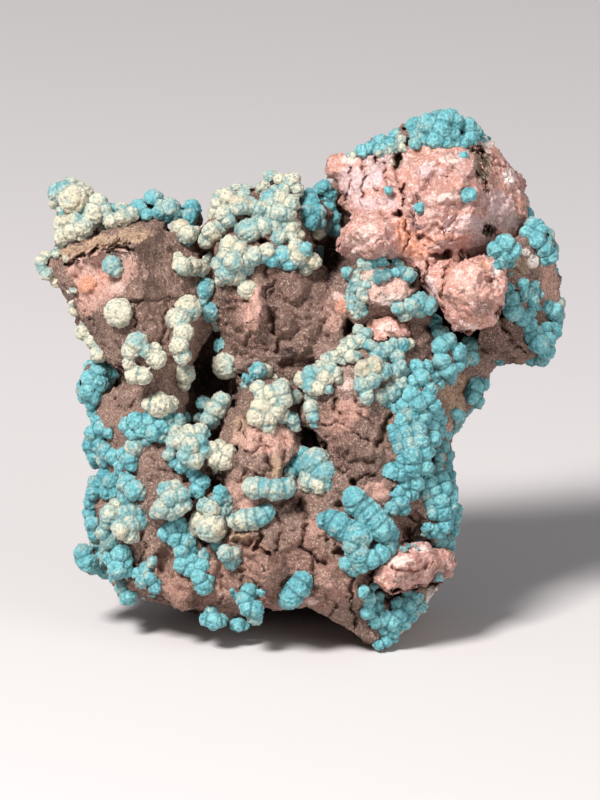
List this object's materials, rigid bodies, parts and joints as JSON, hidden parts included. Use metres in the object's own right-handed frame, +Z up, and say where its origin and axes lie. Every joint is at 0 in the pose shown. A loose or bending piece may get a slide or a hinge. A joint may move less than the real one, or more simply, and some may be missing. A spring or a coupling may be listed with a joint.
{
  "type": "veszelyite specimen",
  "caption": "Natural mineral specimen: blue-green and cream botryoidal crusts on rugged brown and pink matrix, resting on a small flat patch at its back.",
  "frame": {"origin": "middle of the bounding box, at the flat base", "axes": "+Z up, -Y towards the display face, +Y through the thickness"},
  "size_m": [0.0532, 0.0328, 0.0516],
  "materials": {
    "veszelyite": "matt, finely warty blue-green lumps, the upper ones coated cream",
    "brown_matrix": "sugary brown druse with small sparkling grains",
    "pink_spar": "rough salmon-pink cleavable spar with pale streaks"
  },
  "bodies": {
    "root": {"specimen": "veszelyite"}
  },
  "joints": []
}
